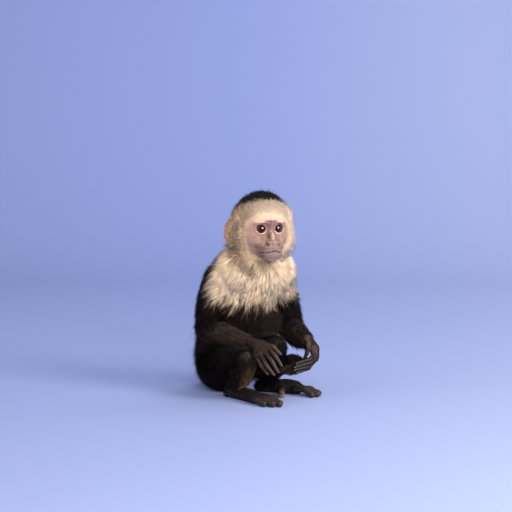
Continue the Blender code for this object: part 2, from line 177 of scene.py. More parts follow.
class Field:
    """Distances to a surface, negative inside it, at the points of a box-shaped grid."""

    def __init__(self, low, high, step, reach):
        self.low = np.asarray(low, float)
        self.step = step
        self.reach = reach
        self.shape = np.ceil((np.asarray(high) - self.low) / step).astype(int)
        self.values = np.full(self.shape, FAR, np.float32)

    def empty(self):
        other = copy.copy(self)
        other.values = np.full(self.shape, FAR, np.float32)
        return other

    def window(self, low, high):
        """The slices and the points of the grid between two corners."""
        a = np.clip(np.floor((np.asarray(low) - self.low) / self.step).astype(int), 0, self.shape)
        b = np.clip(np.ceil((np.asarray(high) - self.low) / self.step).astype(int) + 1, a, self.shape)
        cut = tuple(slice(i, j) for i, j in zip(a, b))
        axes = [self.low[n] + self.step * np.arange(a[n], b[n]) for n in range(3)]
        return cut, np.stack(np.meshgrid(*axes, indexing="ij"), -1).astype(np.float32)

    def add_path(self, stations, k):
        """A round limb through stations of centre and radius."""
        s = np.asarray(stations, np.float32)
        span = s[:, 3].max() + self.reach
        cut, grid = self.window(s[:, :3].min(0) - span, s[:, :3].max(0) + span)
        if not grid.size:
            return
        limb = np.full(grid.shape[:3], FAR, np.float32)
        corner = self.low + self.step * np.array([c.start for c in cut])
        for a, b in zip(s[:-1], s[1:]):
            r = max(a[3], b[3]) + self.reach
            low = np.floor((np.minimum(a[:3], b[:3]) - r - corner) / self.step).astype(int)
            high = np.ceil((np.maximum(a[:3], b[:3]) + r - corner) / self.step).astype(int) + 1
            part = tuple(slice(max(i, 0), max(j, 0)) for i, j in zip(low, high))
            if limb[part].size:
                limb[part] = np.minimum(limb[part], segment(grid[part], a, b)[0])
        self.values[cut] = soft_min(self.values[cut], limb, k)

    def add_oval(self, centre, radii, k, axes=None, carve=False):
        centre = np.asarray(centre, float)
        span = max(radii) + (6.0 if carve else self.reach)
        cut, grid = self.window(centre - span, centre + span)
        if not grid.size:
            return
        q = grid - centre.astype(np.float32)
        if axes is not None:
            q = q @ np.asarray(axes, np.float32).T
        d = oval_distance(q, radii)
        if carve:
            self.values[cut] = -soft_min(-self.values[cut], d, k)
        else:
            self.values[cut] = soft_min(self.values[cut], d, k)

    def join(self, other, k):
        self.values = soft_min(self.values, other.values, k)

    def at(self, points):
        """The field's value at each point."""
        g = np.clip((points - self.low) / self.step, 0, self.shape - 1.001)
        i = g.astype(int)
        f = g - i
        out = 0
        for dx, dy, dz in np.ndindex(2, 2, 2):
            weight = np.abs(1 - dx - f[:, 0]) * np.abs(1 - dy - f[:, 1]) * np.abs(1 - dz - f[:, 2])
            out = out + weight * self.values[i[:, 0] + dx, i[:, 1] + dy, i[:, 2] + dz]
        return out

    def slope(self, points, reach=1.5):
        """The unit direction straight out of the surface."""
        out = np.empty_like(points)
        for n in range(3):
            off = np.zeros(3)
            off[n] = reach
            out[:, n] = self.at(points + off) - self.at(points - off)
        return out / np.maximum(np.linalg.norm(out, axis=1), 1e-6)[:, None]

    def surface(self):
        """Points and triangles of the surface, facing out."""
        grid = openvdb.FloatGrid(FAR)
        grid.copyFromArray(self.values)
        points, triangles, quads = grid.convertToPolygons(0.0, 0.0)
        faces = np.vstack([quads[:, [0, 1, 2]], quads[:, [0, 2, 3]], triangles.reshape(-1, 3)])
        points = points * self.step + self.low
        a, b, c = (points[faces[:, n]] for n in range(3))
        volume = (a * np.cross(b, c)).sum()
        return points, faces if volume > 0 else faces[:, ::-1]


def in_head(left, front, up):
    return HEAD + left * H_LEFT + front * H_FRONT + up * H_UP


def to_head(points):
    return (points - HEAD) @ HEAD_AXES.T


def eye_centre(side):
    return in_head(side * EYE_X, EYE_Y, 0)


def ridge(distance, width):
    return np.exp(-(distance / width) ** 2)


def mouth_line(x):
    """Height of the closed mouth, x to the left of the mouth's middle."""
    return -35.2 + 2.5 * ridge(x, 6.5) - 0.02 * np.abs(x)


def carve_face(field):
    """Fine folds of the face, pressed into the surface or raised from it."""
    cut, grid = field.window(HEAD - 62, HEAD + 62)
    q = to_head(grid)
    x, y, z = q[..., 0], q[..., 1], q[..., 2]
    front = np.clip((y - 10) / 8, 0, 1)
    lip_x = x - MOUTH_X
    mouth = mouth_line(lip_x)
    wide = np.clip((MOUTH_HALF - np.abs(lip_x)) / 2, 0, 1)
    press = 1.6 * ridge(z - mouth, 0.7) * wide
    press += 1.1 * ridge(x + 1.2, 0.9) * ridge(z - 5, 8.0)
    press += 0.9 * ridge(z - 11.0 - 0.012 * x * x, 1.1) * ridge(x, 10.0)
    press += 0.35 * ridge(x, 0.9) * ridge(z + 29, 3.0)
    lips = np.clip((MOUTH_HALF - 1.5 - np.abs(lip_x)) / 5, 0, 1)
    raised = 0.8 * ridge(z - mouth + 2.9, 1.9) * lips + 0.5 * ridge(z - mouth - 2.2, 1.4) * lips
    for side in (-1, 1):
        reach = np.hypot((x - side * LID_X) / 1.1, z + 0.4)
        below = np.clip((1 - z) / 3, 0, 1)
        press += 0.55 * ridge(reach - 8.9, 0.7) * below
        raised += 0.35 * ridge(reach - 7.5, 0.8)
        press += 0.3 * ridge(reach - 11.4, 0.8) * below * ridge(x - side * 16, 7)
        press += 0.5 * ridge(z - 7.6 + 0.055 * (x - side * 11) ** 2, 0.7) * ridge(x - side * 14, 9.0)
        raised += 0.6 * ridge(z - 10.6 + 0.05 * (x - side * 11) ** 2, 1.8) * ridge(x - side * 14, 9.0)
        smile = x - side * (10.5 + 0.4 * (-18 - z))
        press += 1.0 * ridge(smile, 1.2) * ridge(z + 24, 7)
        for n in range(3):
            press += 0.22 * ridge(z + 27.5 + 2.1 * n - 0.25 * np.abs(x), 0.45) * ridge(x - side * 10, 6.0)
    field.values[cut] += ((press - raised) * front).astype(np.float32)


# centre, radii and blend of each form of the head, in its own axes
HEAD_FORMS = [
    ((1.4, -7, 9), (40.3, 40, 41.0), 0), ((0, -2, -12), (41.5, 30, 31), 8),
    ((37, -8, -12), (9.5, 14, 22), 8),
    ((-35, -9, 14), (8, 13, 12), 8), ((37, -10, 13), (9, 14, 13), 8),
    ((0, 9, 0), (31.5, 23, 27), 7), ((0, 19.5, 10), (25.5, 14, 8), 6),
    ((-13, 24.5, 10.5), (11, 7.5, 4.6), 5), ((13, 24.5, 10.5), (11, 7.5, 4.6), 5),
    ((-20.5, 15, -12), (10.5, 10.5, 11), 6), ((20.5, 15, -12), (10.5, 10.5, 11), 6),
    ((0, 25, -2), (4.6, 8, 12), 6), ((1, 24.5, -24), (20.5, 17.5, 14), 6),
    ((1, 35.5, -26.5), (16.8, 10.8, 8.2), 5), ((1, 20, -35), (18.5, 21, 11.5), 6),
    ((1.8, 36.4, -38.4), (15.0, 10.0, 9.4), 5),
    ((0, 37.5, -14), (4.2, 5.5, 9), 4), ((0, 44, -20.2), (4.4, 4.4, 3.9), 3),
    ((-6.6, 41.5, -21.8), (4.4, 4.8, 4.0), 2.5), ((6.6, 41.5, -21.8), (4.4, 4.8, 4.0), 2.5),
    ((21, -9, -28), (22, 23, 18), 8), ((-18, -9, -30), (18, 22, 17), 8),
]


# centre, radii, blend and whether it is hollowed out: shell, bowl, tragus and fold of an ear
EAR_FORMS = [
    ((46.6, -13.5, -7.5), (12.0, 2.8, 20.0), 2.5, False), ((48.6, -8.9, -7.0), (8.4, 4.0, 15.8), 1.2, True),
    ((44.0, -11.5, -9), (3.2, 3.0, 6.0), 2.0, False), ((49.5, -14.0, -2), (1.6, 2.0, 9.0), 1.5, False),
]


def carve_socket(field, side):
    field.add_oval(eye_centre(side), (EYE_R + SOCKET_GAP,) * 3, 0, carve=True)


def build_head(field):
    for place, radii, k in HEAD_FORMS:
        field.add_oval(in_head(*place), radii, k, HEAD_AXES)
    for side in (-1, 1):
        eye = eye_centre(side)
        turn = Matrix.Rotation(math.radians(side * LID_TURN), 3, "Z")
        outward = np.array(turn @ Vector(H_FRONT))
        lid_axes = np.array([turn @ Vector(axis) for axis in HEAD_AXES])
        field.add_oval(in_head(side * 15, EYE_Y + 12.5, -0.5), (11, 7.5, 8), 5, HEAD_AXES, carve=True)
        nostril = -9.6 if side < 0 else 8.0
        field.add_oval(in_head(nostril, 44.0, -22.8), (3.1, 3.0, 2.5), 0.8, HEAD_AXES, carve=True)
        field.add_oval(eye, (EYE_R + 1.5,) * 3, 2.5)
        field.add_oval(eye + 9 * outward, (6.4 if side < 0 else 5.8, 8.5, 6.3), 0.6, lid_axes, carve=True)
        corner = in_head(side * (LID_X - 5.6), EYE_Y + 8.5, -1.8)
        field.add_oval(corner, (2.6, 5.5, 1.5), 0.8, HEAD_AXES, carve=True)
        carve_socket(field, side)
    carve_face(field)
    for side in (-1, 1):
        axes = turned_axes(YAW - math.radians(side * 50))
        for (out, front, up), radii, k, hollow in EAR_FORMS:
            field.add_oval(in_head(side * out, front, up), radii, k, axes, hollow)


def shrunk(name):
    """The region's path, taken in by the depth of its coat."""
    path, depth = REGIONS[name][:2]
    s = curve(path)
    s[:, 3] = np.maximum(s[:, 3] - depth, 3.2)
    return s


def grow_digits(field, limb, radius):
    for n, digit in enumerate(limb["fingers"]):
        base, middle, tip = (np.array(f, float) for f in digit)
        r = radius * (1.08, 1.0, 1.02, 0.98, 0.88)[n]
        if "sole" in limb:
            tip[2] = r * 0.84
        line = [(base, 1.12), (0.5 * (base + middle), 0.93), (middle, 1.06), (0.5 * (middle + tip), 0.86),
                (tip, 0.84)]
        field.add_path([[*centre, r * k] for centre, k in line], 1.6)


def grow_hand(field, limb):
    wrist, palm = np.array(limb["wrist"], float), np.array(limb["palm"], float)
    field.add_path([[*wrist, 6.0], [*(0.5 * (wrist + palm)), 7.0], [*palm, 7.6]], 0)
    for digit in limb["fingers"][1:]:
        field.add_path([[*palm, 6.0], [*digit[0], FINGER * 1.2]], 3.0)
    field.add_path([[*(0.5 * (wrist + palm)), 5.0], [*limb["fingers"][0][0], 4.2]], 3.0)
    grow_digits(field, limb, FINGER)


def grow_foot(field, limb):
    sole = curve(limb["sole"])
    sole[:, 3] -= 0.8
    field.add_path(sole, 3.0)
    for toe in limb["fingers"][1:]:
        field.add_path([[*sole[-1][:3], 7.6], [*toe[0], TOE * 1.2]], 3.0)
    grow_digits(field, limb, TOE)


def grow_body(low, high, step, reach):
    """The field of the whole skin, and that of the bare hands, in one box of space."""
    body = Field(low, high, step, reach)
    body.add_path(shrunk("spine"), 0)
    for centre, radii, k in BARREL:
        body.add_oval(centre, [r - REGIONS["spine"][1] for r in radii], k)
    blends = {"thigh_r": 8, "thigh_l": 8, "shin_r": 6, "shin_l": 6, "arm_r": 10, "arm_l": 10}
    for name, k in blends.items():
        body.add_path(shrunk(name), k)
    grow_foot(body, FOOT_R)
    grow_foot(body, FOOT_L)
    head = body.empty()
    build_head(head)
    body.join(head, 9.0)
    hands = body.empty()
    for name, limb in (("forearm_r", HAND_R), ("forearm_l", HAND_L)):
        hand = body.empty()
        grow_hand(hand, limb)
        hands.join(hand, 0)
        hand.add_path(shrunk(name), 3.0)
        body.join(hand, 1.6)
    tail = body.empty()
    tail.add_path(shrunk("tail"), 0)
    body.join(tail, 1.6)
    for side in (-1, 1):
        carve_socket(body, side)
    level = body.low[2] + step * np.arange(body.shape[2])
    body.values = np.maximum(body.values, (SKIN_FLOOR - level).astype(np.float32)[None, None, :])
    return body, hands


# ---- meshes from arrays
def set_tone(mesh, colours):
    """Give each point of a mesh its own colour, which the materials read."""
    layer = mesh.attributes.new("tone", "FLOAT_COLOR", "POINT")
    rgba = np.ones((len(colours), 4), np.float32)
    rgba[:, :3] = colours
    layer.data.foreach_set("color", rgba.ravel())


def add_object(name, data):
    obj = bpy.data.objects.new(name, data)
    scene.collection.objects.link(obj)
    return obj


def make_mesh(name, points, faces, uvs=None, tones=None):
    """points in millimetres; faces are triangles or all quads."""
    faces = np.asarray(faces, np.int32)
    count, sides = faces.shape
    mesh = bpy.data.meshes.new(name)
    mesh.vertices.add(len(points))
    mesh.vertices.foreach_set("co", (np.asarray(points) * MM).astype(np.float32).ravel())
    mesh.loops.add(count * sides)
    mesh.loops.foreach_set("vertex_index", faces.ravel())
    mesh.polygons.add(count)
    mesh.polygons.foreach_set("loop_start", np.arange(0, count * sides, sides, dtype=np.int32))
    mesh.polygons.foreach_set("loop_total", np.full(count, sides, np.int32))
    mesh.update(calc_edges=True)
    mesh.validate()
    mesh.shade_smooth()
    if uvs is not None:
        layer = mesh.uv_layers.new(name="OFBake")
        layer.data.foreach_set("uv", uvs[faces.ravel()].astype(np.float32).ravel())
    if tones is not None:
        set_tone(mesh, tones)
    return add_object(name, mesh)


def read(items, label, kind, width=3):
    out = np.empty(len(items) * width, kind)
    items.foreach_get(label, out)
    return out.reshape(-1, width)


def read_mesh(mesh):
    """Points in millimetres, their normals, and each triangle's points and loops."""
    mesh.calc_loop_triangles()
    triangles = mesh.loop_triangles
    return (read(mesh.vertices, "co", np.float32) / MM, read(mesh.vertex_normals, "vector", np.float32),
            read(triangles, "vertices", np.int32), read(triangles, "loops", np.int32))


# ---- where on the body a point is
def ramp(value, low, high):
    t = np.clip((value - low) / (high - low), 0, 1)
    return t * t * (3 - 2 * t)


def noise(points, scale, seed):
    """Soft noise from -1 to 1, from crossed waves."""
    local = np.random.default_rng(seed)
    out = np.zeros(len(points))
    for n in range(7):
        direction = local.normal(size=3)
        direction /= np.linalg.norm(direction)
        out += np.sin(points @ direction * (1.3 + n * 0.45) * 2.2 / scale + local.uniform(0, 6.28))
    return out / 4.0


def nearest_on(path, points):
    best = np.full(len(points), 1e9)
    along = np.zeros((len(points), 3))
    place = np.zeros(len(points))
    s = curve(path, 3)
    for n, (a, b) in enumerate(zip(s[:-1], s[1:])):
        d, t = segment(points, a, b)
        closer = d < best
        best[closer] = d[closer]
        along[closer] = (b[:3] - a[:3]) / np.linalg.norm(b[:3] - a[:3])
        place[closer] = (n + t[closer]) / (len(s) - 1)
    return best, along, place


def limb_path(limb):
    if "sole" in limb:
        return limb["sole"][1:]
    return [(limb["wrist"], 8), (limb["palm"], 10)]


def nearest_chain(limb, points):
    """Distance to a hand or foot, the direction along it, and how far out on a digit a point is."""
    best = np.full(len(points), 1e9)
    along = np.zeros((len(points), 3))
    out_along = np.zeros(len(points))
    chains = [limb_path(limb)] + [[(f[0], 4), (f[1], 4), (f[2], 4)] for f in limb["fingers"]]
    for n, chain in enumerate(chains):
        d, way, place = nearest_on(chain, points)
        closer = d < best
        best[closer] = d[closer]
        along[closer] = way[closer]
        out_along[closer] = ramp(place[closer], 0.12, 0.4) if n else 0.0
    return best, along, out_along


def survey(points):
    """For each point: how much each region owns it, the flow of the coat, its length and depth."""
    claims = []
    for name, (path, depth, hair) in REGIONS.items():
        d, along, _ = nearest_on(path, points)
        weight = np.exp(-np.clip(d + depth, -5, 200) / 4.0)
        if name == "spine":
            spread = ramp(points[:, 2], 105, 160) * np.clip((points[:, 0] - 17) / 50, -1.2, 1.2)
            along = np.stack([0.9 * spread, 0.06 + 0.55 * np.abs(spread), np.full(len(points), -1.0)], 1)
        if name in ("arm_r", "arm_l"):
            upper = ramp(points[:, 2], 118, 160)[:, None]
            along = along + upper * np.array([-0.45 if name == "arm_r" else 0.45, 0.65, 0.0])
        claims.append((name, weight, along, hair, depth))
    local = to_head(points)
    skull = oval_distance(local - np.array([0, 2, -2]), (40, 42, 46))
    away = points - in_head(0, 42, -16)
    away[:, 2] += 4 * (local[:, 2] > 20)
    away[:, 2] -= 45 * ramp(-local[:, 2], 0, 25) * ramp(8 - local[:, 1], 0, 14)
    away /= np.linalg.norm(away, axis=1)[:, None]
    claims.append(("head", 3.0 * np.exp(-np.clip(skull, -3, 200) / 3.0), away, HEAD_HAIR, HEAD_DEPTH))
    digit, dorsal = 0, 0
    for name, limb in (("hand_r", HAND_R), ("hand_l", HAND_L), ("foot_r", FOOT_R), ("foot_l", FOOT_L)):
        best, along, out_along = nearest_chain(limb, points)
        weight = 2.0 * np.exp(-np.clip(best, -2, 200) / 2.2)
        digit = digit + weight * out_along
        dorsal = dorsal + weight[:, None] * np.array(limb["dorsal"], float)
        claims.append((name, weight, along, HAND_HAIR, HAND_DEPTH))
    names, weights, ways, hairs, depths = zip(*claims)
    total = sum(weights)
    info = {name: weight / total for name, weight in zip(names, weights)}
    info["digit"] = digit / total
    flow = sum(weight[:, None] * way for weight, way in zip(weights, ways))
    length, tall = (sum(w * s for w, s in zip(weights, sizes)) / total for sizes in (hairs, depths))
    return info, flow, length, tall, dorsal / total[:, None]


def cap_amount(local, jitter=0.0):
    """1 on the black cap, 0 on the cream face and cheeks, from the head's own axes."""
    x, y, z = local.T
    back = y + 5
    edge = np.where(back > 0, 28.3 + 0.68 * back, 28.3 + 1.15 * back - 0.012 * back * back)
    edge = edge - 3.0 * ridge(x, 5.0) * (back > 0) - 1.6 * np.maximum(-27 - y, 0)
    edge = edge + 1.1 * noise(local, 5.0, 3) + 1.1 * noise(local, 2.0, 4)
    edge = edge + jitter * ramp(y, -30, 5)
    return ramp(z - edge, -1.6, 1.6)


def cream_amount(points, info):
    """1 on the cream face, throat, chest and upper arms, 0 on the dark coat."""
    x, y, z = points.T
    ragged = noise(points * [1, 1, 0.45], 8.0, 5) * 4.0 + noise(points * [1, 1, 0.3], 3.5, 6) * 2.5
    front = ramp(-50 - (y + 0.2 * (x - 18)) + 0.5 * ragged, -7, 6)
    left_arm = ramp(x, 52, 75)
    right_arm = ramp(-x, 8, 32)
    height = z + 1.5 * ragged - 7 * left_arm
    low = ramp(height, 138 - right_arm + 4 * left_arm, 169 - right_arm - 8 * left_arm)
    return info["head"] * (1 - cap_amount(to_head(points))) + (1 - info["head"]) * front * low


def neck_fold_shade(points):
    """1 along the painted shadow under the jaw, over partly darker hair, between cheek and shoulder on both
    sides, and at the throat.
    """
    throat = np.linalg.norm((points - [7, -88, 210]) / [16, 12, 9], axis=1)
    out = 0.85 * ridge(throat, 1.0)
    for side, depth in ((-1, 1.0), (1, 0.4)):
        path = [((17 + side * (17 - x), y, z), 4) for x, y, z in NECK_FOLD_SHADE]
        out = np.maximum(out, depth * ridge(np.maximum(nearest_on(path, points)[0], 0), 3.2))
    return out


def bare_amount(points):
    """1 where the face has no coat."""
    x, y, z = to_head(points).T
    near = x < 0
    wide = np.where(near, 35.5, 33.0) - 0.01 * (z + 8) ** 2
    wide = np.where(z < -24, np.where(near, 33.0, 30.5) - np.where(near, 0.3, 0.55) * (-24 - z), wide)
    inside = ramp(wide - np.abs(x), -2.5, 4.5)
    top = 19.0 - 0.012 * x * x
    bottom = np.minimum(-48.5 + 0.012 * (x - 2) ** 2, -38) + 2.5 * noise(points, 4.0, 31)
    return inside * ramp(top - z, -10.0, 8.0) * ramp(z - bottom, -3, 4) * ramp(y, 1, 8)


def bare_limb(points, info):
    """1 on the naked hands, feet and ears."""
    hands = info["hand_r"] + info["hand_l"]
    feet = info["foot_r"] + info["foot_l"]
    local = to_head(points)
    ear = ramp(np.abs(local[:, 0]), 44.0, 47.0) * ramp(18 - np.abs(local[:, 2] + 5), -3, 2)
    ear *= ramp(2 - local[:, 1], -3, 3) * (info["head"] > 0.4)
    return hands, feet, ear


# ---- tones of skin and coat
def rgb(*values):
    return np.array(values)


CREAM_SKIN = rgb(0.74, 0.55, 0.37)
DARK_SKIN = rgb(0.02, 0.013, 0.011)
FACE = rgb(0.158, 0.096, 0.081)
PALE = rgb(0.36, 0.25, 0.195)
MAUVE = rgb(0.125, 0.067, 0.072)
LIP = rgb(0.13, 0.084, 0.093)
NOSE = rgb(0.215, 0.14, 0.134)
RED = rgb(0.27, 0.098, 0.066)
LID = rgb(0.44, 0.29, 0.25)
# painted shade for the face's creases, folds and openings
CREASE_SHADE = rgb(0.07, 0.028, 0.032)
HAND = rgb(0.0225, 0.0148, 0.0146)
BIG_TOE = rgb(0.15, 0.07, 0.052)
EAR = rgb(0.24, 0.125, 0.098)
CREAM = rgb(0.95, 0.81, 0.62)
GOLD = rgb(0.54, 0.375, 0.235)
TAN = rgb(0.13, 0.078, 0.044)
DARK = rgb(0.0032, 0.0027, 0.0036)
BROWN = rgb(0.037, 0.0235, 0.0205)
# painted bluish sheen: the blue surroundings reflected on the black cap
PAINTED_CAP_SHEEN = rgb(0.012, 0.013, 0.019)
# painted shadow under the jaw and chin
FOLD_SHADE = rgb(0.11, 0.06, 0.04)
FUZZ = rgb(0.32, 0.225, 0.178)
ROOT_SHADE = rgb(0.92, 0.82, 0.69)      # painted shade: a tuft's root darker and warmer than its tip
LIGHTEST = 0.97


def mix(a, b, amount):
    return a * (1 - amount[:, None]) + b * amount[:, None]


def tinted(tone, amount, change):
    """The tone changed in each channel by its share of the amount."""
    return tone * (1 + amount[:, None] * np.array(change))


def spot(q, x, z, wide, tall):
    return np.exp(-((q[:, 0] - x) / wide) ** 2 - ((q[:, 2] - z) / tall) ** 2)


def face_colour(q):
    """Tones of the bare face, from the head's own axes, laid one over the other, some as painted shade and
    light.
    """
    x, y, z = q.T
    forward = ramp(y, 17, 22)
    under = ramp(-z, -3, 3)
    lip_x = x - MOUTH_X
    line = mouth_line(lip_x)
    tone = mix(FACE, PALE, 0.95 * ramp(z, 7, 15))

    def lay(colour, amount):
        nonlocal tone
        tone = mix(tone, colour, amount)

    def lay_spots(side, spots):
        for colour, amount, *where in spots:
            lay(colour, amount * spot(q, side * where[0], *where[1:]))

    lay(PALE, 0.4 * ramp(np.abs(x), 20, 30))
    for side in (-1, 1):
        # mauve patches on the cheeks, and mauve beside the nose bridge that is partly the skin's own colour
        # and partly painted shade
        lay_spots(side, [(MAUVE * 1.3, 0.5, 26, -22, 7, 15), (MAUVE * 0.9, 0.95, 5.0, 5.0, 4.2, 7.5)])
        # painted shade in the smile fold and in the fold over each eye
        smile = x - side * (10.5 + 0.4 * (-18 - z))
        lay(MAUVE * 0.8, 0.55 * ridge(smile, 1.3) * ridge(z + 24, 7))
        lid_fold = z - 7.8 + 0.05 * (x - side * 11) ** 2
        lay(MAUVE * 0.8, 0.8 * ridge(lid_fold, 1.9) * ridge(x - side * 13, 9.0))
        lay_spots(side, [(LID, 0.6, 17, 10.8, 7, 1.8), (RED, 0.45, 18, -13.0, 5, 2.6),
                         (RED, 0.35, 24.0, -2, 2.5, 6), (PALE * 1.05, 0.45, 19, -19, 6, 5)])
        ring = np.hypot((x - side * LID_X) / 1.03, z + 0.1)
        lay(LID, (0.1 + 0.75 * under) * ridge(ring - 7.7, 0.9) * forward)
        lay(RED * 0.8, 0.6 * ridge(ring - 9.1, 0.6) * forward * under)
        # painted shade inside each eye's opening, in its inner corner and under the upper lid
        lay(CREASE_SHADE * 0.25, ramp(6.4 - ring, -0.5, 0.4) * forward)
        lay(CREASE_SHADE * 0.5, 0.9 * spot(q, side * 8.4, -1.8, 1.6, 1.4) * forward)
        lay(CREASE_SHADE * 0.6, 0.75 * ridge(ring - 7.0, 0.55) * forward * (1 - under))
        # painted shade inside the nostril
        nostril = -9.3 if side < 0 else 7.8
        lay(CREASE_SHADE * 0.08, spot(q, nostril, -22.8, 2.2, 1.9) * ramp(y, 38, 40.5))
        # painted shade down the sides of the nose, stronger on the near side, away from the key light, and
        # in the fold beside the mouth
        bridge_shade = 0.85 if side < 0 else 0.35
        lay_spots(side, [(NOSE * 0.6, 0.5, 9.6, -17.5, 1.8, 4.0), (MAUVE * 0.5, bridge_shade, 4.8, -9, 1.6, 8),
                         (MAUVE * 0.8, 0.35, 14, -27, 1.5, 5)])
    # painted shadow under the nose, painted highlight along the nose's ridge, the nose tip's own colour,
    # and painted shade in the upright crease between the eyes
    lay_spots(1, [(MAUVE * 1.2, 0.6, 0, -28.5, 9, 2.6), (LID, 0.55, 0, -9, 2.2, 7),
                  (NOSE, 0.75, 0, -20, 5, 4), (CREASE_SHADE, 0.95, -1.2, 5.0, 1.6, 8.5)])
    # painted shade in the crease across the brow
    lay(CREASE_SHADE, 0.92 * np.exp(-((z - 10.8 - 0.012 * x * x) / 1.6) ** 2 - (x / 10.5) ** 4))
    around = ramp(1.12 - np.hypot(lip_x / (MOUTH_HALF + 1), (z + 35) / 12.5), 0, 0.25)
    lay(LIP, 0.85 * ramp(line - z, -0.5, 2.5) * around)
    lay(LIP * 0.95, 0.75 * ridge(z - line - 2.6, 3.4) * around)
    # painted shade in the mouth's slit
    slit = ridge(z - line, 0.7) * ramp(MOUTH_HALF - np.abs(lip_x), -0.5, 1)
    lay(CREASE_SHADE * 0.5, 0.95 * slit * ramp(y, 18, 22))
    lay(PALE, 0.75 * ramp(-45.5 - z, -2.0, 1.5))
    mottle = 0.13 * noise(q, 4.0, 9) + 0.1 * noise(q, 1.8, 19) + 0.07 * noise(q, 0.9, 29)
    return tone * (1 + mottle)[:, None]


def skin_colour(points, info, cream, bare):
    """Cream or dark under the coat, darker under the head's coat as painted shade, and the bare face,
    hands, feet and ears.
    """
    tone = mix(DARK_SKIN, CREAM_SKIN, cream)
    # painted shade: the skin under the head's cream coat darkened
    tone = tone * (1 - 0.35 * cream * info["head"])[:, None]
    tone = mix(tone, face_colour(to_head(points)), bare)
    hands, feet, ear = bare_limb(points, info)
    skin = HAND * (1 + 0.16 * noise(points, 5.0, 12))[:, None]
    finger = np.clip(info["digit"] * 2, 0, 1)
    left_shade = 1 + 0.9 * info["hand_l"] * (1 - finger) - 0.7 * info["hand_l"] * finger
    warm = skin * left_shade[:, None] * rgb(1.0, 0.92, 0.86)
    tone = mix(tone, warm, np.clip(hands * 1.4, 0, 1))
    reddish = ridge(np.linalg.norm(points - np.array(FOOT_L["fingers"][0][2], float), axis=1), 7)
    toes = np.clip(info["digit"] * feet * 1.5, 0, 1)
    foot = mix(mix(skin * 0.25, skin * 0.65, toes), BIG_TOE, reddish)
    tone = mix(tone, foot, np.clip(feet * 1.4, 0, 1))
    return mix(tone, EAR * (1 + 0.12 * noise(points, 6.0, 14))[:, None], ear)


# ---- materials
def dial(node, values):
    for label, value in values.items():
        node.inputs[label].default_value = value


def new_material(name, values):
    made = bpy.data.materials.new(name)
    made.use_nodes = True
    dial(made.node_tree.nodes["Principled BSDF"], values)
    return made


def tone_material(name, values):
    """A material that takes its colour from the mesh's own tones."""
    made = new_material(name, values)
    tree = made.node_tree
    tone = tree.nodes.new("ShaderNodeAttribute")
    tone.attribute_name = "tone"
    tree.links.new(tone.outputs["Color"], tree.nodes["Principled BSDF"].inputs["Base Color"])
    return made


def skin_material():
    """Mottled skin with a fine net of creases."""
    made = tone_material("skin", {
        "Roughness": 0.6, "Specular IOR Level": 0.13, "Subsurface Weight": 0.12,
        "Subsurface Radius": (0.004, 0.0016, 0.001), "Subsurface Scale": 0.6})
    nodes, links = made.node_tree.nodes, made.node_tree.links
    shader, tone = nodes["Principled BSDF"], nodes["Attribute"]
    place = nodes.new("ShaderNodeTexCoord")
    fine = nodes.new("ShaderNodeTexNoise")
    dial(fine, {"Scale": 900.0, "Detail": 3.0})
    links.new(place.outputs["Object"], fine.inputs["Vector"])
    mottle = nodes.new("ShaderNodeMapRange")
    dial(mottle, {"To Min": 0.86, "To Max": 1.14})
    links.new(fine.outputs["Fac"], mottle.inputs["Value"])
    tint = nodes.new("ShaderNodeVectorMath")
    tint.operation = "SCALE"
    links.new(tone.outputs["Color"], tint.inputs[0])
    links.new(mottle.outputs["Result"], tint.inputs["Scale"])
    links.new(tint.outputs["Vector"], shader.inputs["Base Color"])
    creases = nodes.new("ShaderNodeTexVoronoi")
    dial(creases, {"Scale": 1300.0})
    links.new(place.outputs["Object"], creases.inputs["Vector"])
    bump = nodes.new("ShaderNodeBump")
    dial(bump, {"Strength": 0.3, "Distance": 0.0003})
    links.new(creases.outputs["Distance"], bump.inputs["Height"])
    links.new(bump.outputs["Normal"], shader.inputs["Normal"])
    return made


# ---- build
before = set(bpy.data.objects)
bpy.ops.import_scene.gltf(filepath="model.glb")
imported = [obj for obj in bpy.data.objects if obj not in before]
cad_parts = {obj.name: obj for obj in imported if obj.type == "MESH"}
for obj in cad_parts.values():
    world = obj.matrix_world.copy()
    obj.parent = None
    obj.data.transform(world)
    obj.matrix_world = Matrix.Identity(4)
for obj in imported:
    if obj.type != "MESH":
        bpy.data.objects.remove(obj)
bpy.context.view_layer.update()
BODY_FACES = 135000

field, hand_field = grow_body(LOW, HIGH, STEP, REACH)
points, faces = field.surface()
skin = make_mesh("skin", points, faces)
q = to_head(points)
in_face = (np.abs(q[:, 0]) < 36) & (q[:, 1] > 6) & (q[:, 2] > -51) & (q[:, 2] < 24)
spare = skin.vertex_groups.new(name="spare")
spare.add(np.where(~in_face)[0].tolist(), 1.0, "REPLACE")
thin = skin.modifiers.new("thin", "DECIMATE")
thin.vertex_group = "spare"
thin.ratio = min(1.0, BODY_FACES / len(faces))
ready = skin.evaluated_get(bpy.context.evaluated_depsgraph_get())
thinner = bpy.data.meshes.new_from_object(ready)
skin.modifiers.clear()
skin.vertex_groups.clear()

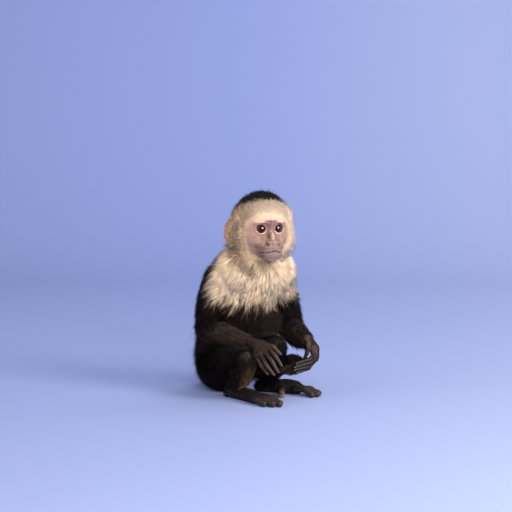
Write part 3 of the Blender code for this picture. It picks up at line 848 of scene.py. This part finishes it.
# the face is divided once more and drawn onto a finer grid of the same form
work = bmesh.new()
work.from_mesh(thinner)
middle = [to_head(np.array(f.calc_center_median()) / MM) for f in work.faces]
chosen = [f for f, c in zip(work.faces, middle) if abs(c[0]) < 34 and c[1] > 8 and -50 < c[2] < 20]
edges = list({e for f in chosen for e in f.edges})
bmesh.ops.subdivide_edges(work, edges=edges, cuts=1, use_grid_fill=True)
bmesh.ops.triangulate(work, faces=work.faces[:])
work.to_mesh(thinner)
work.free()
skin.data = thinner
face_low = HEAD + [-50, -64, -58]
face_high = HEAD + [48, 8, 32]
face_field, _ = grow_body(face_low, face_high, FINE, FINE_REACH)
points = read_mesh(thinner)[0].astype(float)
q = to_head(points)
inner = ramp(34 - np.abs(q[:, 0]), 0, 5) * ramp(q[:, 1], 8, 14)
inner *= ramp(q[:, 2], -50, -45) * ramp(20 - q[:, 2], 0, 5)
near = np.where(inner > 0)[0]
for _ in range(3):
    spot_now = points[near]
    step_out = face_field.slope(spot_now, 0.5) * (face_field.at(spot_now) * inner[near])[:, None]
    points[near] = spot_now - step_out * 0.9
thinner.vertices.foreach_set("co", (points * MM).astype(np.float32).ravel())
thinner.update()
skin.data.shade_smooth()

bpy.context.view_layer.objects.active = skin
skin.select_set(True)
bpy.ops.object.mode_set(mode="EDIT")
bpy.ops.mesh.select_all(action="SELECT")
bpy.ops.uv.smart_project(angle_limit=math.radians(60), island_margin=0.002)
bpy.ops.object.mode_set(mode="OBJECT")
skin.data.uv_layers[0].name = "OFBake"
skin.select_set(False)

flesh = [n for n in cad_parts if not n.startswith("eye_")]
points, normals, tris, loops = read_mesh(skin.data)
info, flow, length, tall, dorsal = survey(points)
cream = cream_amount(points, info)
bare = bare_amount(points)
set_tone(skin.data, skin_colour(points, info, cream, bare))
skin.data.materials.clear()
skin.data.materials.append(skin_material())
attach(skin, "root")
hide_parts(*flesh)

# eyes: a dark brown iris that nearly fills the opening, with a clear wet front
IRIS_EDGE = 52       # degrees from the eye's axis
PUPIL_EDGE = 26
for side, word in ((-1, "right"), (1, "left")):
    bpy.ops.mesh.primitive_uv_sphere_add(segments=64, ring_count=40, radius=EYE_R * MM)
    eye = bpy.context.active_object
    eye.name = "eyeball_" + word
    look = Vector(H_FRONT - 0.16 * H_LEFT)
    for v in eye.data.vertices:
        bulge = max(0.0, (v.co.z / v.co.length - 0.72) / 0.28)
        v.co *= 1 + 0.045 * bulge ** 1.5
    centre = eye_centre(side)
    eye.data.transform(look.to_track_quat("Z", "Y").to_matrix().to_4x4())
    eye.data.transform(Matrix.Translation(Vector(centre) * MM))
    eye.data.shade_smooth()
    co = np.array([v.co[:] for v in eye.data.vertices]) / MM - centre
    cosine = co @ np.array(look.normalized()) / np.linalg.norm(co, axis=1)
    angle = np.degrees(np.arccos(np.clip(cosine, -1, 1)))
    colour = mix(rgb(0.16, 0.09, 0.07), rgb(0.016, 0.006, 0.003), ramp(IRIS_EDGE - angle, -3, 3))
    colour = mix(colour, rgb(0.026, 0.01, 0.005), ridge(angle - 36, 8))
    colour = mix(colour, rgb(0.0008, 0.0006, 0.0006), ramp(PUPIL_EDGE - angle, -2, 2))
    set_tone(eye.data, colour)
    eye.data.materials.append(tone_material("eye_" + word, {
        "Roughness": 0.4, "Specular IOR Level": 0.0, "Coat Weight": 1.0, "Coat IOR": 1.38,
        "Coat Roughness": 0.02}))
    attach(eye, "root")
    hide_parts("eye_" + word)


# nails: small arched plates on the ends of the digits
def nail(name, middle, tip, dorsal, radius, material):
    middle, tip = Vector(middle), Vector(tip)
    along = (tip - middle).normalized()
    up = Vector(dorsal)
    up = (up - up.dot(along) * along).normalized()
    side = up.cross(along).normalized()
    bpy.ops.mesh.primitive_uv_sphere_add(segments=16, ring_count=10, radius=1.0)
    obj = bpy.context.active_object
    obj.name = name
    size = Matrix.Diagonal((radius * 0.62, radius * 1.05, radius * 0.34, 1))
    spin = Matrix((side, along, up)).transposed().to_4x4()
    place = Matrix.Translation(tip + along * radius * 0.25 + up * radius * 0.56)
    obj.data.transform(Matrix.Scale(MM, 4) @ place @ spin @ size)
    obj.data.shade_smooth()
    obj.data.materials.append(material)
    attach(obj, "root")


nail_look = new_material("nail", {"Base Color": (0.034, 0.026, 0.024, 1), "Roughness": 0.5,
                                  "Specular IOR Level": 0.15})
for word, limb, radius in (("hand_right", HAND_R, FINGER), ("hand_left", HAND_L, FINGER),
                           ("foot_right", FOOT_R, TOE), ("foot_left", FOOT_L, TOE)):
    for n, finger in enumerate(limb["fingers"]):
        nail("nail_%s_%d" % (word, n + 1), finger[1], finger[2], limb["dorsal"], radius * 0.84, nail_look)


# ---- the coat
# more tufts on the cream fur and the head, hardly any on the bare face, ears, palms and soles
hands, feet, ear = bare_limb(points, info)
corner = points[tris]
area = 0.5 * np.linalg.norm(np.cross(corner[:, 1] - corner[:, 0], corner[:, 2] - corner[:, 0]), axis=1)
front_head = ramp(to_head(points)[:, 1], -5, 14)
density = 1.0 + 0.7 * cream + (0.8 + 0.9 * front_head) * info["head"]
density *= 1 - bare * 0.8
naked = np.clip(np.maximum(hands, feet) * 1.5 - 0.3, 0, 1)
hairy_side = ramp((normals * dorsal).sum(1), -0.1, 0.5) * (1 - info["digit"])
density *= 1 - naked * (1 - 0.12 - 1.25 * hairy_side)
density *= 1 - 0.85 * ear
density *= np.where(points[:, 2] < 1.0, 0.0, 1.0)
weight = area * density[tris].mean(1)
COUNT = 124000
pick = rng.choice(len(tris), COUNT, p=weight / weight.sum())
a, b = rng.random(COUNT), rng.random(COUNT)
swap = a + b > 1
a[swap], b[swap] = 1 - a[swap], 1 - b[swap]
bary = np.stack([1 - a - b, a, b], 1)


def at_roots(values):
    if values.ndim == 1:
        return (values[tris[pick]] * bary).sum(1)
    return (values[tris[pick]] * bary[..., None]).sum(1)


def unit(v):
    return v / np.maximum(np.linalg.norm(v, axis=1), 1e-9)[:, None]


def along_surface(v, normal):
    return unit(v - (v * normal).sum(1)[:, None] * normal)


root = at_roots(points)
normal = unit(at_roots(normals))
uv_all = read(skin.data.uv_layers["OFBake"].data, "uv", np.float32, 2)
uv = (uv_all[loops[pick]] * bary[..., None]).sum(1)
way = along_surface(at_roots(flow), normal)
hair = at_roots(length)
high = at_roots(tall)
own = {name: at_roots(values) for name, values in info.items()}
r_bare = bare_amount(root)
r_hands, r_feet, r_ear = bare_limb(root, own)
r_head = own["head"]
r_local = to_head(root)
x, y, z = root.T
head_x, head_y, head_z = r_local.T
drift = rng.normal(0, 1.0, COUNT)

# tufts rooted in one small cell are a lock: they share a lean, a lift, a length and a streak
cell = np.where(r_head > 0.5, 1.8, 3.2)[:, None]
key = np.floor(root / cell).astype(int)
mixed = (key[:, 0] * 73856093 ^ key[:, 1] * 19349663 ^ key[:, 2] * 83492791) & 0xFFFF
jitter = np.stack([(mixed * m % 997) / 997.0 for m in (31, 57, 91)], 1)
streak = (mixed * 77 % 991) / 495.0 - 1
lean, lift = [(mixed * m % 983) / 491.0 - 1 for m in (43, 67)]
stray = np.maximum(0, rng.random(COUNT) - 0.86) / 0.14
cap_edge = 1.6 * drift + 2.6 * streak - 7.0 * stray
r_cap = cap_amount(r_local, cap_edge) * (r_head > 0.5)

# the face's coat is short on the brow and long on the cheeks and under the chin
cheek = ramp(-head_z, 2, 26) * ramp(9 - head_y, -8, 10)
brow = ramp(head_y, 0, 14) * ramp(head_z, -4, 8)
edge = ramp(r_bare, 0.0, 0.45)
head_hair = (HEAD_HAIR + 6.0 * cheek - 4.5 * brow + 1.0 * r_cap * (1 - brow)) * (1 - 0.7 * edge)
head_high = (HEAD_DEPTH + 3.0 * cheek - 4.2 * brow + 0.8 * r_cap) * (1 - 0.85 * edge)
hair = hair * (1 - r_head) + head_hair * r_head
high = high * (1 - r_head) + head_high * r_head
chest = own["spine"] * ramp(z, 100, 150)
hair += 4.0 * chest
back_of_limb = ramp((normal * at_roots(dorsal)).sum(1), -0.1, 0.5) * (1 - own["digit"])
bare_skin = np.clip(np.maximum(r_hands, r_feet) * 1.3, 0, 1)
near_ear = ridge(np.abs(head_x) - 44, 7) * ridge(head_y + 8, 13) * ridge(head_z + 9, 23)
hair *= (1 - 0.55 * r_ear) * (1 - 0.2 * bare_skin) * (1 - 0.35 * near_ear)
hair += 4.5 * bare_skin * back_of_limb
high *= (1 - 0.75 * r_ear) * (1 - 0.7 * bare_skin) * (1 - 0.4 * near_ear)
hair *= rng.uniform(0.75, 1.2, COUNT)
layer_up = rng.random(COUNT)
hang = (own["forearm_l"] + own["forearm_r"]) * ramp(-normal[:, 2], 0.0, 0.6)
hair += 5.0 * hang
high *= 0.5 + 0.62 * layer_up ** 0.8
outer_left = ramp(normal[:, 0], 0.2, 0.8) * own["arm_l"] * ramp(z, 140, 165)
high *= 1 + 0.35 * ramp(head_x, 26, 38) * r_head + 0.35 * outer_left
loose = (rng.random(COUNT) < 0.06 + 0.16 * r_cap) & (r_bare < 0.1) & (bare_skin < 0.3)
high = np.where(loose, high * rng.uniform(1.1, 1.5 + 0.2 * r_cap), high)

# each tuft is drawn to the middle of its lock, and leans and curls with it
pull = (key + 0.2 + 0.6 * jitter) * cell - root
pull -= (pull * normal).sum(1)[:, None] * normal
inner_chest = chest * ramp(z, 160, 175)
lock = ((0.45 - 0.15 * inner_chest) * np.clip((hair - 3) / 8, 0, 1))[:, None]
across = np.cross(normal, way)
spread = rng.normal(0, 0.07, COUNT) + 0.2 * lean
spread = np.where(loose, spread * 2.0, spread)
way = unit(way + across * spread[:, None])
high *= 1 + (0.2 - 0.1 * inner_chest) * lift
hair *= 1 + 0.14 * streak
curl = (rng.normal(0, 0.05, COUNT) + 0.12 * (2 * jitter[:, 0] - 1)) * hair

# where the coat's colour changes, with painted shade and light: round the head, in the folds, on the limbs
behind_face = ramp(6 - head_y, -6, 14) * r_head
# painted shade on the near side of the head, turned from the key light
near_side_shade = ramp(-head_x, 16, 34) * r_head * (1 + 0.25 * ramp(-head_z, 5, 20))
near_side_shade *= 1 - 0.75 * ramp(-head_x, 35, 44)
# painted light along the head's outline and under the far jaw, where they turn from the lamps
near_limb_light = ramp(-head_x, 33, 43) * r_head
far_limb_light = ramp(head_x, 29, 38) * r_head
far_jaw_light = ramp(head_x, 16, 34) * ramp(-head_z, 0, 22) * r_head
far_jaw_light *= 1 + 1.6 * ramp(-head_z, 20, 36)
# painted light in the hollows between the arms and the chest
valley_light = ridge(x + 8, 15) * ridge(z - 178, 22) * (1 - r_head)
valley_light += own["arm_l"] * ramp(z, 150, 160) * ramp(198 - z, 0, 15)
# painted shadow in the fold under the jaw and under the chin
folded_shade = 0.95 * neck_fold_shade(root) * np.clip(1 + 0.2 * drift, 0, 1.05)
fore_part = ramp(-y, 20, 60) * (1 - r_head)
legs = own["thigh_r"] + own["thigh_l"] + own["shin_l"]
brownish = 0.55 * rng.random(COUNT) ** 3 + 0.9 * np.maximum(streak - 0.45, 0)
brownish += 0.12 * fore_part * (1 - legs)
brownish += 0.18 * own["forearm_r"] - 0.14 * own["forearm_l"] + 0.2 * own["hand_l"] + 0.15 * own["hand_r"]
brownish += 0.35 * own["tail"] * ramp(-y, 40, 80) - 0.3 * r_cap - 0.5 * legs - 0.3 * r_feet
brownish = np.clip(brownish, 0, 1)
facing = ramp((normal * [0.78, -0.62, 0.0]).sum(1), -0.45, 0.25)
inner_shin = np.clip(own["shin_r"] + 0.7 * own["thigh_r"], 0, 1) * facing
inner_shin *= ramp(66 - z, 0, 12) * ramp(-y, 55, 75)
low_shin = ramp(44 - z, 0, 20)


def coat_tone(places, capped, fold_shade):
    """Colour of the coat at points over the skin, with its painted shade and light."""
    amount = cream_amount(places, own)
    ragged = (0.12 * drift + 0.52 * streak) * (1 - r_head)
    ragged *= ramp(amount, 0.0, 0.25) * ramp(1.2 - amount, 0, 0.5)
    amount = np.where(r_head > 0.5, 1 - capped, amount) + ragged
    gold = 0.14 + 0.12 * drift + 0.22 * streak + (0.1 + 0.22 * behind_face) * (1 + 1.4 * lean)
    pale = mix(CREAM, GOLD, np.clip(gold, 0, 1))
    # painted shade: the head's cream darker towards the back
    pale = pale * (1 - r_head[:, None] * [0.36, 0.35, 0.25] - (0.12 * behind_face)[:, None])
    # painted shade on the near side of the head, and painted light in the hollows by the arms
    pale = tinted(tinted(pale, near_side_shade, (-0.15, -0.21, -0.27)), 0.1 * valley_light, (1.0, 0.8, 0.6))
    # painted light under the far jaw, and painted shade on the short coat at the bare face's edge, away
    # from the brow
    pale = pale * ((1 + 0.18 * far_jaw_light) * (1 - 0.22 * edge * r_head * (1 - brow)))[:, None]
    # painted light along the head's outline
    pale = tinted(tinted(pale, far_limb_light, (0.34, 0.31, 0.24)), near_limb_light, (0.36, 0.24, 0.05))
    # the cap's black carries a painted bluish sheen
    dark = mix(mix(DARK, BROWN, brownish), PAINTED_CAP_SHEEN, r_cap * (0.75 + 0.25 * streak))
    dark = mix(dark, TAN * (1.0 + 1.5 * low_shin)[:, None], (0.85 + 0.15 * streak) * inner_shin)
    tone = mix(dark, TAN, ramp(amount, 0.15, 0.42))
    tone = mix(tone, np.minimum(pale, LIGHTEST), ramp(amount, 0.4, 0.72))
    # the painted shadow under the jaw and chin laid over the coat
    return mix(tone, FOLD_SHADE, fold_shade)


# the colour is worked out at the root and again a little way along each tuft
root_tone = coat_tone(root, r_cap, folded_shade)
tip_cap = cap_amount(to_head(root + way * (hair * 0.05)[:, None]), cap_edge)
tip_tone = coat_tone(root + way * (hair * 0.3)[:, None], tip_cap, 0.75 * folded_shade)
lock_tone = 0.1 + 0.14 * r_head + 0.06 * ramp(170 - z, 0, 15)
# each tuft's random tone and its lock's streak, with painted shade on the tufts that lie low in the coat
tone_and_shade = rng.uniform(0.9, 1.06, COUNT) * (0.86 + 0.14 * layer_up) * (1 + lock_tone * streak)
# painted shade on the brow's coat
tone_and_shade *= 1 - 0.06 * brow
face_fuzz = ramp(r_bare, 0.25, 0.8) * r_head
tip_tone = mix(tip_tone * tone_and_shade[:, None], FUZZ, face_fuzz)
# the root of each tuft gets its painted shade
root_tone = mix(root_tone * tone_and_shade[:, None], FUZZ, face_fuzz) * ROOT_SHADE

width = np.where(hair > 12, 0.66, 0.54) * rng.uniform(0.75, 1.25, COUNT)
width = width * (1 - 0.55 * r_bare) * (1 - 0.08 * r_head) * 1.0

# each tuft climbs from its root to its layer of the coat and then follows the body
STOPS = (0.0, 0.3, 0.64, 1.0)
spots = [root - 0.5 * normal]
keep = ~((r_bare > 0.5) & (rng.random(COUNT) < 0.35))
keep &= ~((bare_skin > 0.5) & (rng.random(COUNT) > 0.15 + 0.85 * back_of_limb))
heading = way
here = root
for start, end in zip(STOPS[:-1], STOPS[1:]):
    here = here + heading * (hair * (end - start))[:, None]
    here = here + pull * lock * (end ** 2 - start ** 2)
    here = here + across * (curl * (end ** 3 - start ** 3))[:, None]
    here[:, 2] -= (0.06 + 0.38 * hang) * hair * (end ** 2 - start ** 2)
    out = field.slope(here)
    wanted = high * (1 - (1 - end) ** 1.7)
    here = here + out * ((wanted - field.at(here)) * (0.85 - 0.65 * hang))[:, None]
    here[:, 2] = np.maximum(here[:, 2], TUFT_FLOOR)
    heading = along_surface(heading, out)
    keep &= (hand_field.at(here) > 0.9) | (bare_skin > 0.4)
    spots.append(here)

on_head = r_head > 0.5
groups = {"coat_head": on_head & ~(r_cap > 0.5), "coat_cap": on_head & (r_cap > 0.5)}
for piece, parts in (("arm", ("arm", "forearm", "hand")), ("leg", ("thigh", "shin", "foot"))):
    for word in ("right", "left"):
        owned = sum(own["%s_%s" % (part, word[0])] for part in parts)
        groups["coat_%s_%s" % (piece, word)] = ~on_head & (owned > 0.5)
groups["coat_tail"] = ~on_head & (own["tail"] > 0.5)
trunk = ~np.any(list(groups.values()), axis=0)
back = y + 0.2 * (x - 18) > -30
groups["coat_back"] = trunk & back
groups["coat_chest"] = trunk & ~back & (z > 150)
groups["coat_belly"] = trunk & ~back & (z <= 150)


def grow(name, index, material, long):
    """One mesh of closed three-sided tufts, each tapering to a point."""
    count = len(index)
    stops = (0, 1, 2, 3) if long else (0, 1, 3)
    shares = (0.75, 1.0, 0.72)
    rings = []
    line = [spots[n][index] for n in stops]
    for n in range(len(line) - 1):
        run = unit(line[n + 1] - line[n])
        side = unit(np.cross(run, normal[index]))
        top = np.cross(side, run)
        half = (0.5 * width[index] * shares[n])[:, None]
        rings += [line[n] + side * half, line[n] - side * half, line[n] + top * half * 0.8]
    rings.append(line[-1])
    verts = np.stack(rings, 1)
    each = len(rings)
    one = [(0, 2, 1)]
    for n in range(len(line) - 2):
        for k in range(3):
            a0, b0 = n * 3 + k, n * 3 + (k + 1) % 3
            one += [(a0, b0, b0 + 3), (a0, b0 + 3, a0 + 3)]
    last = each - 4
    one += [(last, last + 1, last + 3), (last + 1, last + 2, last + 3), (last + 2, last, last + 3)]
    faces = (np.arange(count) * each)[:, None, None] + np.array(one)[None]
    heights = np.repeat([STOPS[n] for n in stops[:-1]], 3).tolist() + [1.0]
    sides = [0.0, 1.0, 0.5] * (len(line) - 1) + [0.5]
    patch = np.stack([sides, heights], 1) - 0.5
    uvs = (uv[index][:, None] + 0.003 * patch[None]).reshape(-1, 2)
    up = np.array(heights)[None, :, None]
    colour = (root_tone[index][:, None] * (1 - up) + tip_tone[index][:, None] * up).reshape(-1, 3)
    obj = make_mesh(name, verts.reshape(-1, 3), faces.reshape(-1, 3), np.clip(uvs, 0, 1), colour)
    obj.data.materials.append(material)
    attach(obj, "root")


# each piece stays under 200,000 triangles: a long tuft has 16 and a short one 10
MOST_LONG = 12400
MOST_SHORT = 19900
fur_look = tone_material("coat", {"Roughness": 0.55, "Specular IOR Level": 0.06})
LONG = ("coat_chest", "coat_belly")
for name, chosen in groups.items():
    index = np.where(chosen & keep)[0]
    parts = math.ceil(len(index) / (MOST_LONG if name in LONG else MOST_SHORT))
    for n in range(parts):
        label = name if parts == 1 else "%s_%d" % (name, n + 1)
        grow(label, index[n::parts], fur_look, name in LONG)

# ---- stage, camera and lights
toward = Vector((0.616, 0.788, 0.0))     # level, from the camera to the monkey
side = Vector((0.788, -0.616, 0.0))      # level, to the camera's right
BEND = 1.2           # radius, in metres, of the paper's curve up to the wall
profile = [(-4.0, 0.0), (-0.8, 0.0), (0.4, 0.0), (1.6, 0.0)]
for n in range(1, 13):
    turn = n * math.pi / 24
    profile.append((1.6 + BEND * math.sin(turn), BEND - BEND * math.cos(turn)))
profile.append((2.8, 5.0))
PAPER = rgb(0.19, 0.245, 0.5)
columns = (-6.0, -0.7, 0.0, 0.7, 6.0)
verts = []
paper = []
for away, up in profile:
    for across_by in columns:
        verts.append(toward * away + side * across_by + Vector((0, 0, up)))
        # painted light: the paper is greyer towards the camera, as brightly lit paper looks, and brighter
        # and warmer towards the right, where the key light falls
        close = min(max((0.4 - away) / 1.2, 0), 1)
        right = min(max(across_by / 0.7, 0), 1) * (1 - close)
        paper.append(PAPER * (1 - close * rgb(0.05, 0.09, 0.16) + right * rgb(0.2, 0.11, -0.04)))
wide = len(columns)
faces = [(wide * n + k, wide * n + k + 1, wide * (n + 1) + k + 1, wide * (n + 1) + k)
         for n in range(len(profile) - 1) for k in range(wide - 1)]
floor = make_mesh("floor", np.array(verts) / MM, faces, tones=np.array(paper))
floor.data.materials.append(tone_material("paper", {"Roughness": 0.9}))

TILT = math.radians(5)
camera = add_object("camera", bpy.data.cameras.new("camera"))
scene.camera = camera
camera.data.lens = 108.0
camera.data.sensor_width = 36.0
camera.location = (-1.4232, -1.8988, 0.4198)
gaze = toward * math.cos(TILT) - Vector((0, 0, math.sin(TILT)))
camera.rotation_euler = gaze.to_track_quat("-Z", "Y").to_euler()
camera.data.clip_start = 0.05


def softbox(name, place, aim, size, power, colour, hidden=""):
    """A square lamp; place is in metres to the side, toward the wall and up."""
    lamp = bpy.data.lights.new(name, "AREA")
    lamp.shape = "RECTANGLE"
    lamp.size, lamp.size_y = size, size
    lamp.energy = power
    lamp.color = colour
    obj = add_object(name, lamp)
    obj.location = side * place[0] + toward * place[1] + Vector((0, 0, place[2]))
    obj.rotation_euler = (Vector(aim) - obj.location).to_track_quat("-Z", "Y").to_euler()
    obj.visible_glossy = hidden != "glossy"
    obj.visible_diffuse = hidden != "diffuse"


softbox("key", (1.584, -1.232, 1.212), (0, -0.05, 0.17), 0.95, 52.0, (1.0, 0.95, 0.87), "glossy")
# the same light as a wet eye sees it: a broad box, nearer the camera
softbox("glint", (1.12, -0.98, 0.62), (0, -0.07, 0.26), 0.75, 105.0, (1.0, 0.97, 0.93), "diffuse")
softbox("front", (0.55, -2.1, 0.6), (0, 0, 0.15), 1.1, 83.0, (1.0, 0.95, 0.88), "glossy")
softbox("fill", (-2.0, -1.4, 1.2), (0, 0, 0.15), 2.0, 28.0, (1.0, 0.95, 0.9))
softbox("back", (0.8, 1.4, 2.4), (0, 0, 0.2), 1.6, 17.5, (1.0, 1.0, 1.0))
wall_aim = side * 0.9 + toward * 2.7 + Vector((0, 0, 1.0))
softbox("wall", (1.6, 0.9, 2.2), wall_aim, 1.2, 34.0, (0.96, 0.98, 1.0))
world = bpy.data.worlds.new("studio")
scene.world = world
world.use_nodes = True
dial(world.node_tree.nodes["Background"], {"Color": (1.0, 0.96, 0.92, 1), "Strength": 0.56})
scene.view_settings.view_transform = "Standard"
